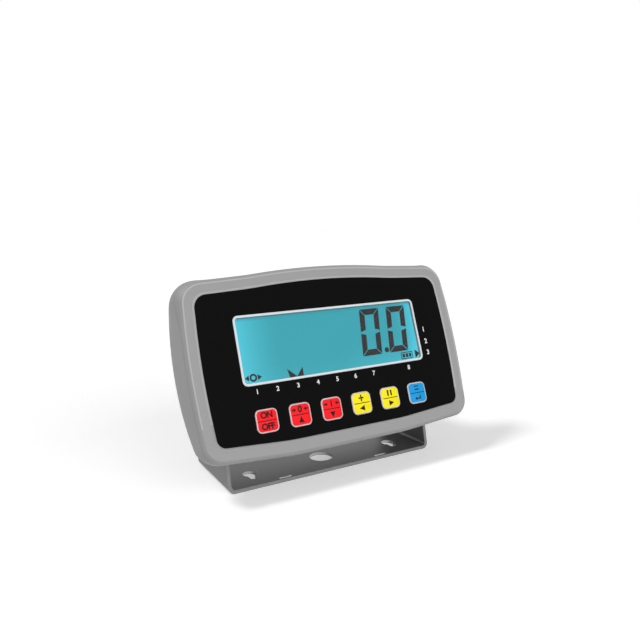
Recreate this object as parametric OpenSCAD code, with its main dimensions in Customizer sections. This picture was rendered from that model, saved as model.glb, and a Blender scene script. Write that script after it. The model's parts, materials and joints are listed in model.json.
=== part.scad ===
// Weighing indicator: a moulded display head held between the arms of a steel bracket.
// Millimetres. The origin is the axis of the centre hole at the underside of the bracket.
// The head is drawn upright in its own frame: X across, Y back from the face, Z up the face.

/* [Bracket] */
// Width over the outside of both arms
bracket_w = 144; // [138:1:156]
// Depth of the base plate, front to back
plate_depth = 53.6; // [50:0.2:60]
// Thickness of the steel sheet
sheet_t = 2; // [1.5:0.25:2.5]
// Inside radius of the two bends
bend_r = 2; // [1:0.5:3]
// Centre hole behind the front edge of the plate
hole_back = 20.3; // [18:0.1:23]
// Radius of the centre hole
hole_r = 7.75; // [5:0.25:9]
// Sideways place of each keyhole
keyhole_x = 51.5; // [45:0.5:56]
// Wide end of a keyhole behind the front edge
keyhole_back = 18.6; // [17:0.2:24]
// Radius of the wide end of a keyhole
keyhole_r = 4.2; // [3.5:0.1:5]
// Length of the neck of a keyhole, centre to centre
neck_len = 6.5; // [5:0.5:8]
// Width of the neck of a keyhole
neck_w = 4.6; // [3:0.2:6]
// Sideways place of each tie slot
slot_x = 34.4; // [25:0.2:38]
// Length of a tie slot
slot_len = 9.1; // [7:0.1:12]
// Width of a tie slot
slot_w = 1.9; // [1.5:0.1:2.5]
// Middle of a tie slot behind the front edge
slot_back = 2.3; // [2:0.1:4]

/* [Pivot] */
// Height of the tilt axis over the underside of the plate
pivot_h = 64; // [62:0.5:70]
// Tilt axis behind the centre hole
pivot_y = 19; // [16:0.5:20]
// Radius of the round end of an arm
arm_r = 13; // [11:0.5:14]
// Height of the step in the front edge of an arm
knee_h = 25; // [22:1:28]
// Set back of that step from the foot
knee_back = 5; // [4:0.5:8]
// Height at which the back edge of an arm starts to close in
heel_h = 20; // [15:1:25]
// Radius of the threaded stud
stud_r = 2.95; // [2.4:0.05:3.2]
// Radius of a clamp knob
knob_r = 12; // [10:0.5:13]
// Length of a clamp knob
knob_len = 9; // [7:0.5:10]
// Thickness of a friction washer
washer_t = 1.2; // [0.8:0.1:1.6]
// Radius of a friction washer
washer_r = 8.5; // [7.5:0.5:10]
// Length of a brass insert
insert_len = 10; // [8:1:12]
// Radius of a brass insert
insert_r = 5; // [4.5:0.25:5.5]

/* [Head] */
// Backward lean of the face at rest, in degrees
lean = 19.5; // [12:0.5:30]
// Half width of the front cover
half_w = 93.5; // [90:0.5:98]
// Top of the front cover over the middle of the display
top_h = 47; // [44:0.5:52]
// Bottom of the front cover under the middle of the display
low_h = 62.8; // [61:0.2:68]
// Greatest depth of the front cover
cover_depth = 26.2; // [25:0.2:29]
// Thickness of the moulded walls
wall = 2.6; // [2.2:0.1:3]
// Width of the frame that shows round the keypad
margin = 8.8; // [7.5:0.1:10]
// Radius of the upper corners
top_corner_r = 13.5; // [12:0.5:16]
// Radius of the lower corners
low_corner_r = 11; // [10:0.5:13]
// Roundness of the front edge
edge_r = 2.2; // [1.5:0.1:2.4]
// Tilt axis behind the face
pivot_depth = 43; // [42:0.5:46]
// Tilt axis under the middle of the display
pivot_drop = 5; // [2:0.5:8]
// Back of the rear box behind the face
box_depth = 60; // [58:0.5:64]
// Top of the rear box over the middle of the display
box_top = 33; // [32:0.5:34]
// Bottom of the rear box under the middle of the display
box_low = 46; // [44:0.5:48]

/* [Display] */
// Width of the display window
window_w = 126; // [118:1:130]
// Height of the display window
window_h = 40.5; // [36:0.5:42]
// Width of the border of the window
border = 1.7; // [1.2:0.1:2.2]
// Thickness of the window
window_t = 1.5; // [1:0.1:1.7]
// Thickness of the liquid crystal cell
lcd_t = 2.8; // [2:0.1:3]
// Thickness of the backlight
backlight_t = 3; // [2.5:0.1:3.5]

/* [Keys] */
// Width of a key
key_w = 13.5; // [12:0.1:14.5]
// Height of a key
key_h = 13.2; // [12:0.1:14]
// Distance between keys, as a share of the half width
key_pitch_share = 0.2241; // [0.215:0.0001:0.235]
// Height of the row of keys above the lowest edge
key_low_gap = 22.1; // [20.8:0.1:23.3]
key_row = low_h - key_low_gap;
// Corner radius of a key
key_corner_r = 2.9; // [2:0.1:4]
// Travel of a key
key_travel = 0.5; // [0.3:0.1:0.6]

/* [Battery] */
// Width of the battery
battery_w = 97; // [90:1:100]
// Height of the battery
battery_h = 52; // [48:0.5:53]
// Depth of the battery
battery_d = 24; // [20:0.5:26]

/* [Hidden] */
$fn = 48;
// Overrun of a cut past the face that it opens
over = 1;
// Gap between a pivot face and the arm beside it
play = 0.2;
// Gap round a piece that drops into a pocket
fit = 0.15;
// Gap round a pressed or threaded piece
snug = 0.02;
// Running clearance of a pin in its bore
slip = 0.05;

// Bracket
front_y = -hole_back;
back_y = plate_depth - hole_back;
arm_out = bracket_w / 2;
arm_in = arm_out - sheet_t;
arm_slack_share = 0.12;
arm_bore_r = stud_r + arm_slack_share * stud_r;

// Head placing
face_y = pivot_y - pivot_depth * cos(lean) + pivot_drop * sin(lean);
face_z = pivot_h + pivot_depth * sin(lean) + pivot_drop * cos(lean);

// Outline of the face: a shallow brow, gently falling shoulders, bowed sides and a keel
brow_x = 48.5;
brow_r = 455;
shoulder_fall_share = 0.05;
flat_x = 39;
keel_rise_share = 0.068;
side_bow_r = 470;
side_mid = -5;
top_steps = 6;
side_steps = 5;
corner_steps = 7;
round_steps = 4;
corner_end = 2;

// Curved back of the front cover
swell_lift = 4.9;
swell_past = 5.1;
swell_mid = (top_h - low_h) / 2 + swell_lift;
swell_reach = (top_h + low_h) / 2 + swell_past;
swell_steps = 36;
least_depth = 10;

// Rear cover
plate_t = 2.4;
ledge = 1.6;
gasket_t = 0.8;
box_out = arm_in - play - washer_t;
box_corner_r = 6;
box_edge = 2;
box_corner_steps = 5;
back_wall = 3;
box_in = box_out - wall;
boss_wall = 4.8;
boss_r = insert_r + boss_wall;

// Keypad and the face wall
overlay_t = 0.4;
overlay_deep = 0.5;
overlay_top_r = 7.8;
overlay_low_r = 5.5;
key_proud = 0.25;
key_gap = 0.25;
key_lip = 1.4;
key_lip_t = 1;
key_float = 0.3;
window_corner_r = 3.2;
key_count = 6;
key_pitch = half_w * key_pitch_share;
KEY_X = [for (i = [0:key_count - 1]) (i - (key_count - 1) / 2) * key_pitch];

// Display stack, counted back from the face
lcd_side = 1;
lcd_end = 1.75;
lcd_w = window_w + 2 * lcd_side;
lcd_h = window_h + 2 * lcd_end;
window_back = overlay_deep - overlay_t + window_t;
lcd_front = window_back + play / 2;
lcd_back = wall + lcd_t;
light_back = lcd_back + backlight_t;
holder_rim = 3;
holder_shelf = 4;
shelf_t = 1.2;
board_front = light_back + shelf_t;
board_t = 1.6;
board_back = board_front + board_t;
board_side_gap = 17.5;
board_top_gap = 13;
board_low_gap = 14.3;
board_half = half_w - board_side_gap;
board_top = top_h - board_top_gap;
board_low = low_h - board_low_gap;
post_in = 3.5;
POSTS = [for (s = [-1, 1], v = [board_top - post_in, post_in - board_low]) [s * (board_half - post_in), v]];
post_r = 3.2;
screw_r = 1.25;
screw_len = 6;
head_r = 2.8;
head_t = 1.8;

// Tact switches
switch_w = 6;
switch_t = 3.4;
stem_r = 1.7;
stem_rest = 0.8;

// Pieces on the back of the board
buzzer_r = 6;
buzzer_t = 5.5;
buzzer_hole_r = 1;
buzzer_in = 18;
buzzer_at = [buzzer_in - board_half, board_top - buzzer_in];
chip_w = 14;
chip_t = 1.6;
chip_x = 10;
chip_up = 32.5;
chip_at = [chip_x, chip_up - board_low];
block_left_share = 0.395;
block_right_share = 0.5;
BLOCK_X = [-board_half * block_left_share, board_half * block_right_share];
block_w = 18;
block_h = 8;
block_t = 9;
block_top_gap = 12;
block_v = board_top - block_top_gap;

// Cover screws, in wells of the rear cover
well_side_gap = 12;
well_top_gap = 19;
well_low_gap = 15.8;
well_end_gap = 8.5;
WELLS = concat(
    [for (s = [-1, 1], v = [top_h - well_top_gap, well_low_gap - low_h]) [s * (half_w - well_side_gap), v]],
    [[0, top_h - well_end_gap], [0, well_end_gap - low_h]]
);
well_r = 4;
well_wall = 1.6;
well_deep = 3.6;
well_floor = 2;
cover_screw_r = 1.5;
cover_head_r = 3;
cover_head_t = 2.2;
cover_bite = 4.5;

// Cross recess and hidden root of a screw, as shares of its head
recess_long_share = 1.2;
recess_wide_share = 0.25;
recess_deep_share = 0.5;
root_share = 0.25;

// Battery and its door
door_lap = 2.5;
door_t = 1.8;
door_gap = 0.5;
pad_t = 1;
pad_w = 12;
pad_h = 30;
cradle_t = 3;
rest_share = 0.33;
rest_x = battery_w * rest_share;
cradle_h = 4;
battery_low = -box_low + wall + cradle_h;
battery_back = box_depth - door_t - pad_t;
door_half = battery_w / 2 + door_gap + door_lap;
door_bottom = battery_low - door_gap - door_lap;
door_top = battery_low + battery_h + door_gap + door_lap;
door_mid = (door_top + door_bottom) / 2;
door_h = door_top - door_bottom;
door_screw_r = 1.25;
door_head_t = 1.2;
door_screw_x = door_half + door_lap / 2;
door_ear = 5;

// Sockets on the back
socket_v = (door_top + box_top) / 2;
cell_x = -42;
cell_r = 5;
cell_wall = 1;
cell_flange_r = 7.2;
cell_flange_t = 1.5;
cell_len = 10;
serial_x = 0;
serial_w = 16.4;
serial_h = 7.6;
serial_flange_w = 31;
serial_flange_h = 11;
serial_len = 6;
serial_t = 0.8;
serial_corner_r = 1.6;
post_hex_r = 2.4;
post_hex_t = 4;
post_hex_x = 12.3;
jack_x = 42;
jack_r = 4;
jack_bore_r = 2.8;
jack_flange_r = 5.5;
jack_flange_t = 1.2;
jack_len = 11;

// Clamp knobs
knob_edge = 1;
flute_r = 2.4;
flute_count = 8;

// Height of the top edge of the face outline at x, drawn in by i
function top_z(x, i) = top_h - i - pow(min(abs(x), brow_x), 2) / (2 * brow_r)
    - max(0, abs(x) - brow_x) * shoulder_fall_share;
// Height of the bottom edge at x
function low_z(x, i) = i - low_h + max(0, abs(x) - flat_x) * keel_rise_share;
// Half width of the outline at height z
function side_x(z, i) = half_w - i - pow(z - side_mid, 2) / (2 * side_bow_r);
// Middle of the upper and the lower corner arc
function top_centre(i, r) = let (x = side_x(top_z(half_w, i) - r, i) - r) [x, top_z(x, i) - r];
function low_centre(i, r) = let (x = side_x(low_z(half_w, i) + r, i) - r) [x, low_z(x, i) + r];
function arc(c, r, a, b, n) = [for (k = [0:n]) c + r * [cos(a + (b - a) * k / n), sin(a + (b - a) * k / n)]];

// Right half of the outline from the middle of the top to the middle of the bottom
function half_outline(i, rt, rl) = let (ct = top_centre(i, rt), cl = low_centre(i, rl)) concat(
    [for (k = [0:top_steps]) let (x = brow_x * k / top_steps) [x, top_z(x, i)]],
    arc(ct, rt, 90 - atan(shoulder_fall_share), corner_end, corner_steps),
    [for (k = [1:side_steps - 1]) let (z = ct[1] + (cl[1] - ct[1]) * k / side_steps) [side_x(z, i), z]],
    arc(cl, rl, -corner_end, atan(keel_rise_share) - 90, corner_steps),
    [[flat_x, low_z(flat_x, i)]]
);
function mirrored(pts) = [for (k = [len(pts) - 1:-1:0]) if (pts[k][0] > 0) [-pts[k][0], pts[k][1]]];
function outline(i, rt, rl) = let (h = half_outline(i, rt, rl)) concat(h, mirrored(h));
function shell_outline(i) = outline(i, top_corner_r - i, low_corner_r - i);

// Depth of the curved back at height v, drawn in by i
function swell(v, i) =
    max(least_depth, cover_depth * sqrt(max(0, 1 - pow((v - swell_mid) / swell_reach, 2)))) - i;

// Straight piece of an outline from depth a to depth b behind the face
module slab(a, b) {
    translate([0, b, 0]) rotate([90, 0, 0]) linear_extrude(b - a) children();
}

// Round bar square to the face
module pin(r, a, b, x, v) {
    translate([x, b, v]) rotate([90, 0, 0]) cylinder(r = r, h = b - a);
}

// Round bar along X
module bar(r, a, b, y, z) {
    translate([a, y, z]) rotate([0, 90, 0]) cylinder(r = r, h = b - a);
}

// Rectangle with round corners about a middle
module tile(w, h, r) {
    square([w - 2 * r, h], center = true);
    square([w, h - 2 * r], center = true);
    for (x = [-1, 1], y = [-1, 1]) translate([x * (w / 2 - r), y * (h / 2 - r)]) circle(r);
}

// Everything in front of the curved back, less i
module swelled(i) {
    top = top_h + over;
    low = -low_h - over;
    pts = [for (k = [0:swell_steps]) let (v = low + (top - low) * k / swell_steps) [swell(v, i), v]];
    reach = half_w + over;
    translate([-reach, 0, 0]) rotate([90, 0, 90]) linear_extrude(2 * reach)
        polygon(concat([[-over, low]], pts, [[-over, top]]));
}

// Solid through rings of points of equal count
module loft(rings) {
    n = len(rings[0]);
    m = len(rings);
    sides = [for (j = [0:m - 2], k = [0:n - 1]) let (
        a = j * n + k, b = j * n + (k + 1) % n, c = (j + 1) * n + (k + 1) % n, d = (j + 1) * n + k
    ) each [[a, c, b], [a, d, c]]];
    caps = [[for (k = [0:n - 1]) k], [for (k = [n - 1:-1:0]) (m - 1) * n + k]];
    polyhedron(points = [for (r = rings, p = r) p], faces = concat(sides, caps));
}

// Outline drawn in by i, set at depth y
function ring(i, y) = [for (p = shell_outline(i)) [p[0], y, p[1]]];

// Outline of the rear box drawn in by i, set at depth y
function box_ring(i, y) = let (
    mid = (box_top - box_low) / 2,
    x = box_out - box_corner_r,
    z = (box_top + box_low) / 2 - box_corner_r
) [
    for (k = [0:3], p = let (c = [k < 2 ? x : -x, mid + (k % 3 == 0 ? z : -z)])
        arc(c, box_corner_r - i, 90 - 90 * k, -90 * k, box_corner_steps)) [p[0], y, p[1]]
];

// Places the head's own frame on the bracket
module on_head() {
    translate([0, face_y, face_z]) rotate([-lean, 0, 0]) children();
}

// Tangent from a point to the round end of an arm, turned by side
function tangent(p, side) = let (
    c = [pivot_y, pivot_h],
    d = norm(c - p),
    a = atan2(c[1] - p[1], c[0] - p[0]) + side * asin(arm_r / d)
) p + sqrt(d * d - arm_r * arm_r) * [cos(a), sin(a)];

// Cross section of the bent sheet
module bent_sheet() {
    top = pivot_h + arm_r + over;
    outer_r = bend_r + sheet_t;
    difference() {
        union() {
            translate([-arm_out, outer_r]) square([bracket_w, top]);
            translate([-arm_out + outer_r, 0]) square([bracket_w - 2 * outer_r, top]);
            for (s = [-1, 1]) translate([s * (arm_out - outer_r), outer_r]) circle(outer_r);
        }
        translate([-arm_in, outer_r]) square([2 * arm_in, top]);
        translate([bend_r - arm_in, sheet_t]) square([2 * (arm_in - bend_r), top]);
        for (s = [-1, 1]) translate([s * (arm_in - bend_r), outer_r]) circle(bend_r);
    }
}

// Side view of the bracket
module arm_outline() {
    knee = [front_y + knee_back, knee_h];
    heel = [back_y, heel_h];
    polygon([
        [front_y, 0], [back_y, 0], heel, tangent(heel, -1), tangent(knee, 1), knee
    ]);
    translate([pivot_y, pivot_h]) circle(arm_r);
}

// Keyhole with its neck towards the front edge
module keyhole() {
    translate([0, front_y + keyhole_back]) {
        circle(keyhole_r);
        translate([0, -neck_len]) circle(neck_w / 2);
        translate([-neck_w / 2, -neck_len]) square([neck_w, neck_len]);
    }
}

// Tie slot with round ends
module tie_slot() {
    run = slot_len - slot_w;
    translate([-run / 2, front_y + slot_back]) {
        circle(slot_w / 2);
        translate([run, 0]) circle(slot_w / 2);
        translate([0, -slot_w / 2]) square([run, slot_w]);
    }
}

// Bent steel bracket that the head tilts in
module bracket() color("#6a6a6a") {
    difference() {
        intersection() {
            translate([0, back_y, 0]) rotate([90, 0, 0]) linear_extrude(plate_depth) bent_sheet();
            translate([-arm_out, 0, 0]) rotate([90, 0, 90]) linear_extrude(bracket_w) arm_outline();
        }
        translate([0, 0, -over]) linear_extrude(sheet_t + 2 * over) {
            circle(hole_r);
            for (s = [-1, 1]) {
                translate([s * keyhole_x, 0]) keyhole();
                translate([s * slot_x, 0]) tie_slot();
            }
        }
        bar(arm_bore_r, -arm_out - over, arm_out + over, pivot_y, pivot_h);
    }
}

// Opening of one key through the face
module key_hole(i) {
    translate([KEY_X[i], -key_row]) tile(key_w + 2 * key_gap, key_h + 2 * key_gap, key_corner_r + key_gap);
}

// Front moulding: a face with a pocket for the keypad, walls with a curved back edge, and posts
module front_cover() color("#a5a5a5") on_head() {
    difference() {
        intersection() {
            loft(concat(
                [for (k = [0:round_steps]) let (a = 90 * k / round_steps)
                    ring(edge_r * (1 - sin(a)), edge_r * (1 - cos(a)))],
                [ring(0, cover_depth + over)]
            ));
            swelled(0);
        }
        slab(wall, cover_depth + 2 * over) polygon(shell_outline(wall + ledge));
        difference() {
            slab(wall, cover_depth + 2 * over) polygon(shell_outline(wall));
            swelled(plate_t + gasket_t);
        }
        slab(-over, overlay_deep) polygon(outline(margin, overlay_top_r, overlay_low_r));
        slab(-over, window_back) tile(window_w + 2 * fit, window_h + 2 * fit, window_corner_r);
        slab(-over, wall + over) tile(window_w - 2 * border, window_h - 2 * border, window_corner_r - border);
        for (i = [0:key_count - 1]) slab(-over, wall + over) key_hole(i);
    }
    for (p = POSTS) difference() {
        pin(post_r, wall / 2, board_front, p[0], p[1]);
        pin(screw_r + snug, board_back - screw_len - slip, board_front + over, p[0], p[1]);
    }
    for (p = WELLS) difference() {
        top = swell(p[1], well_deep + well_floor);
        pin(well_r, wall / 2, top, p[0], p[1]);
        pin(cover_screw_r + snug, top - cover_bite - slip, top + over, p[0], p[1]);
    }
}

// Rear moulding: a curved plate that closes the front cover, with the deep box on its back
module rear_cover() color("#9a9a9a") on_head() {
    inner = box_depth - back_wall;
    boss_end = box_out - insert_len;
    difference() {
        union() {
            difference() {
                intersection() {
                    slab(0, cover_depth + over) polygon(shell_outline(wall + fit));
                    swelled(0);
                }
                swelled(plate_t);
            }
            intersection() {
                slab(0, cover_depth + over) polygon(shell_outline(wall + ledge + fit));
                for (p = WELLS) {
                    floor_w = swell(p[1], well_deep + well_floor);
                    pin(well_r + well_wall, floor_w, swell(p[1], 0), p[0], p[1]);
                }
                swelled(0);
            }
            difference() {
                loft(concat(
                    [box_ring(0, swell(-box_low, plate_t))],
                    [for (k = [0:round_steps]) let (a = 90 * k / round_steps)
                        box_ring(box_edge * (1 - cos(a)), box_depth - box_edge * (1 - sin(a)))]
                ));
                swelled(plate_t);
            }
        }
        slab(0, inner) translate([0, (box_top - box_low) / 2])
            tile(2 * box_in, box_top + box_low - 2 * wall, box_corner_r - wall);
        for (p = WELLS) {
            pin(well_r, swell(p[1], well_deep), box_depth, p[0], p[1]);
            pin(cover_screw_r + slip, 0, box_depth, p[0], p[1]);
        }
        slab(inner - over, box_depth + over) translate([0, door_mid])
            square([2 * (door_half - door_lap), door_h - 2 * door_lap], center = true);
        slab(box_depth - door_t, box_depth + over) translate([0, door_mid])
            tile(2 * (door_half + door_ear + fit), door_h + 2 * fit, door_lap);
        for (s = [-1, 1]) pin(door_screw_r + snug, inner - over, box_depth, s * door_screw_x, door_mid);
        pin(cell_r + cell_wall + fit, inner - over, box_depth + over, cell_x, socket_v);
        slab(inner - over, box_depth + over) translate([serial_x, socket_v])
            square([serial_w + 2 * fit, serial_h + 2 * fit], center = true);
        pin(jack_r + fit, inner - over, box_depth + over, jack_x, socket_v);
        bar(insert_r + snug, -box_out - over, box_out + over, pivot_depth, -pivot_drop);
    }
    for (s = [-1, 1]) {
        difference() {
            bar(boss_r, s > 0 ? boss_end : -box_in, s > 0 ? box_in : -boss_end, pivot_depth, -pivot_drop);
            bar(insert_r + snug, -box_out, box_out, pivot_depth, -pivot_drop);
        }
        translate([s * rest_x - cradle_t / 2, battery_back - battery_d, -box_low + wall])
            cube([cradle_t, battery_d, cradle_h]);
    }
}

// Soft seal between the two mouldings
module cover_gasket() color("#303030") on_head() {
    difference() {
        intersection() {
            slab(0, cover_depth + over) polygon(shell_outline(wall + fit));
            swelled(plate_t);
        }
        swelled(plate_t + gasket_t);
        slab(-over, cover_depth + 2 * over) polygon(shell_outline(wall + ledge));
    }
}

// Printed film over the face, open at the window and at the keys
module keypad_overlay() color("#111111") on_head() {
    slab(overlay_deep - overlay_t, overlay_deep) difference() {
        polygon(outline(margin + fit, overlay_top_r - fit, overlay_low_r - fit));
        tile(window_w + 2 * fit, window_h + 2 * fit, window_corner_r);
        for (i = [0:key_count - 1]) key_hole(i);
    }
}

// Clear window in its stepped opening
module display_window() color("#cfe6ea", 0.5) on_head() {
    slab(overlay_deep - overlay_t, window_back) tile(window_w, window_h, window_corner_r - fit);
}

// Liquid crystal cell against the back of the face wall, its front glass up in the opening
module lcd_glass() color("#48aabb") on_head() {
    inset = border + fit;
    slab(wall, lcd_back) square([lcd_w, lcd_h], center = true);
    slab(lcd_front, lcd_back) tile(window_w - 2 * inset, window_h - 2 * inset, window_corner_r - inset);
}

// Light guide behind the cell
module lcd_backlight() color("#e8f4f4") on_head() {
    slab(lcd_back, light_back) square([lcd_w, lcd_h], center = true);
}

// Frame that holds cell and light guide on the board
module lcd_holder() color("#f0f0ea") on_head() {
    difference() {
        slab(wall, board_front) square([lcd_w + 2 * holder_rim, lcd_h + 2 * holder_rim], center = true);
        slab(wall - over, light_back) square([lcd_w + 2 * fit, lcd_h + 2 * fit], center = true);
        slab(light_back - over, board_front + over)
            square([lcd_w - 2 * holder_shelf, lcd_h - 2 * holder_shelf], center = true);
    }
}

// Circuit board on the posts of the front cover
module main_board() color("#2e6b3f") on_head() {
    difference() {
        slab(board_front, board_back) translate([-board_half, -board_low])
            square([2 * board_half, board_low + board_top]);
        for (p = POSTS) pin(screw_r + fit, board_front - over, board_back + over, p[0], p[1]);
    }
}

// Bodies of the six push switches
module switch_bodies() color("#2b2b2b") on_head() {
    for (x = KEY_X) difference() {
        slab(board_front - switch_t, board_front) translate([x, -key_row]) square(switch_w, center = true);
        pin(stem_r + slip, board_front - switch_t - over, board_front - stem_rest / 2, x, -key_row);
    }
}

// Sounder on the back of the board
module buzzer() color("#1d1d1d") on_head() {
    back = board_back + buzzer_t;
    difference() {
        pin(buzzer_r, board_back, back, buzzer_at[0], buzzer_at[1]);
        pin(buzzer_hole_r, back - buzzer_t / 2, back + over, buzzer_at[0], buzzer_at[1]);
    }
}

// Processor package on the back of the board
module processor() color("#232323") on_head() {
    slab(board_back, board_back + chip_t) translate(chip_at) square(chip_w, center = true);
}

// Terminal blocks that take the leads of the battery and the sockets
module terminal_blocks() color("#3c7a4a") on_head() {
    for (x = BLOCK_X) slab(board_back, board_back + block_t) translate([x, block_v])
        square([block_w, block_h], center = true);
}

// Screw with a pan head, its shank towards the face
module screw(r, len, hr, ht, seat, x, v) {
    long = hr * recess_long_share;
    wide = hr * recess_wide_share;
    pin(r, seat - len, seat + ht * root_share, x, v);
    difference() {
        pin(hr, seat, seat + ht, x, v);
        slab(seat + ht * recess_deep_share, seat + ht + over) translate([x, v]) {
            square([long, wide], center = true);
            square([wide, long], center = true);
        }
    }
}

// Screws of the circuit board
module board_screws() color("#c9c9c9") on_head() {
    for (p = POSTS) screw(screw_r, screw_len - board_t, head_r, head_t, board_back, p[0], p[1]);
}

// Screws that join the two mouldings
module cover_screws() color("#c9c9c9") on_head() {
    for (p = WELLS) let (seat = swell(p[1], well_deep))
        screw(cover_screw_r, well_floor + cover_bite, cover_head_r, cover_head_t, seat, p[0], p[1]);
}

// Sealed rechargeable battery on its cradle
module battery() color("#3a3d42") on_head() {
    translate([-battery_w / 2, battery_back - battery_d, battery_low])
        cube([battery_w, battery_d, battery_h]);
}

// Foam pads between the battery and its door
module battery_pads() color("#555555") on_head() {
    for (s = [-1, 1]) slab(battery_back, battery_back + pad_t)
        translate([s * rest_x, battery_low + battery_h / 2]) square([pad_w, pad_h], center = true);
}

// Door over the battery, flush in the back of the box
module battery_door() color("#949494") on_head() {
    difference() {
        slab(box_depth - door_t, box_depth) translate([0, door_mid])
            tile(2 * (door_half + door_ear), door_h, door_lap);
        for (s = [-1, 1])
            pin(door_screw_r + slip, box_depth - door_t - over, box_depth + over, s * door_screw_x, door_mid);
    }
}

// Screws of the battery door
module door_screws() color("#c9c9c9") on_head() {
    for (s = [-1, 1])
        screw(door_screw_r, back_wall, head_r, door_head_t, box_depth, s * door_screw_x, door_mid);
}

// Round socket for the load cell
module load_cell_socket() color("#b8b8b8") on_head() {
    difference() {
        union() {
            pin(cell_r + cell_wall, box_depth - cell_len, box_depth, cell_x, socket_v);
            pin(cell_flange_r, box_depth, box_depth + cell_flange_t, cell_x, socket_v);
        }
        pin(cell_r, box_depth - cell_len + cell_flange_t, box_depth + cell_flange_t + over, cell_x, socket_v);
    }
}

// Nine way serial connector, a flange with a filled shell
module serial_port() color("#b8b8b8") on_head() {
    slab(box_depth, box_depth + serial_t) translate([serial_x, socket_v])
        tile(serial_flange_w, serial_flange_h, serial_t);
    slab(box_depth - serial_len, box_depth + serial_t + serial_len) translate([serial_x, socket_v])
        tile(serial_w, serial_h, serial_corner_r);
}

// Threaded posts beside the serial connector
module serial_jackscrews() color("#d0d0d0") on_head() {
    foot = box_depth + serial_t;
    for (s = [-1, 1]) let (x = serial_x + s * post_hex_x) difference() {
        pin(post_hex_r, foot, foot + post_hex_t, x, socket_v, $fn = 6);
        pin(post_hex_r / 2, foot + over, foot + post_hex_t + over, x, socket_v);
    }
}

// Power inlet
module power_jack() color("#1b1b1b") on_head() {
    front = box_depth - jack_len;
    back = box_depth + jack_flange_t;
    difference() {
        union() {
            pin(jack_r, front, box_depth, jack_x, socket_v);
            pin(jack_flange_r, box_depth, back, jack_x, socket_v);
        }
        pin(jack_bore_r, front + jack_flange_t, back + over, jack_x, socket_v);
    }
}

// Brass inserts that the clamp studs screw into
module pivot_inserts() color("#c9a24a") on_head() {
    for (a = [box_out - insert_len, -box_out]) difference() {
        bar(insert_r, a, a + insert_len, pivot_depth, -pivot_drop);
        bar(stud_r + slip, a - over, a + insert_len + over, pivot_depth, -pivot_drop);
    }
}

// Rubber friction washers between the box and the arms
module pivot_washers() color("#202020") on_head() {
    for (a = [box_out, -box_out - washer_t]) difference() {
        bar(washer_r, a, a + washer_t, pivot_depth, -pivot_drop);
        bar(arm_bore_r, a - over, a + washer_t + over, pivot_depth, -pivot_drop);
    }
}

// One key: a cap flush in the film, with a lip behind the face wall
module key_cap(i) on_head() {
    lip_front = wall + key_float;
    slab(-key_proud, lip_front + key_lip_t) translate([KEY_X[i], -key_row]) tile(key_w, key_h, key_corner_r);
    slab(lip_front, lip_front + key_lip_t) translate([KEY_X[i], -key_row])
        tile(key_w + 2 * key_lip, key_h + 2 * key_lip, key_corner_r);
}

// Plunger of one push switch, which moves with its key
module key_stem(i) color("#e8e4d8") on_head() {
    seat = board_front - stem_rest / 2 - key_travel - slip;
    pin(stem_r, wall + key_float + key_lip_t, seat, KEY_X[i], -key_row);
}

module power_key() color("#ff0a19") key_cap(0);
module zero_key() color("#ff0a19") key_cap(1);
module tare_key() color("#ff0a19") key_cap(2);
module memory_key() color("#ffec0a") key_cap(3);
module hold_key() color("#ffec0a") key_cap(4);
module enter_key() color("#0f9be1") key_cap(5);

// Clamp knob with grip flutes, its flat face beside the arm
module knob(side) color("#1a1a1a") {
    near = arm_out + play;
    translate([0, pivot_y, pivot_h]) rotate([0, side > 0 ? 90 : -90, 0]) difference() {
        union() {
            translate([0, 0, near]) cylinder(r = knob_r, h = knob_len - knob_edge);
            translate([0, 0, near]) cylinder(r = knob_r - knob_edge, h = knob_len);
        }
        for (k = [0:flute_count - 1]) rotate([0, 0, 360 * k / flute_count])
            translate([knob_r + knob_edge, 0, near - over]) cylinder(r = flute_r, h = knob_len + 2 * over);
        translate([0, 0, near - over]) cylinder(r = stud_r + snug, h = over + knob_len / 2);
    }
}

// Threaded stud of a clamp knob
module stud(side) color("#c4c4c4") {
    near = box_out - insert_len + ledge;
    translate([0, pivot_y, pivot_h]) rotate([0, side > 0 ? 90 : -90, 0])
        translate([0, 0, near]) cylinder(r = stud_r, h = arm_out + play + knob_len / 2 - near);
}

bracket();
front_cover();
rear_cover();
cover_gasket();
keypad_overlay();
display_window();
lcd_glass();
lcd_backlight();
lcd_holder();
main_board();
switch_bodies();
buzzer();
processor();
terminal_blocks();
board_screws();
cover_screws();
battery();
battery_pads();
battery_door();
door_screws();
load_cell_socket();
serial_port();
serial_jackscrews();
power_jack();
pivot_inserts();
pivot_washers();
power_key();
zero_key();
tare_key();
memory_key();
hold_key();
enter_key();
key_stem(0);  // power_stem
key_stem(1);  // zero_stem
key_stem(2);  // tare_stem
key_stem(3);  // memory_stem
key_stem(4);  // hold_stem
key_stem(5);  // enter_stem
knob(-1);  // left_knob
stud(-1);  // left_stud
knob(1);  // right_knob
stud(1);  // right_stud
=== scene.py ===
"""Looks of a weighing indicator: a grey moulded head with a wide display, in a bent steel bracket.

Sizes in the classes are millimetres in the head's own frame: x to the reader's right, w back from
the face and v up the face, counted from the middle of the display. HeadFrame turns them into
Blender's metres. The plate's holes are in millimetres of the world, the studio is in metres.
"""
import json
import logging
import math
from dataclasses import dataclass
from enum import Enum
from typing import Callable, Sequence

import bmesh
import bpy
import numpy as np
from mathutils import Matrix, Vector


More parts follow.
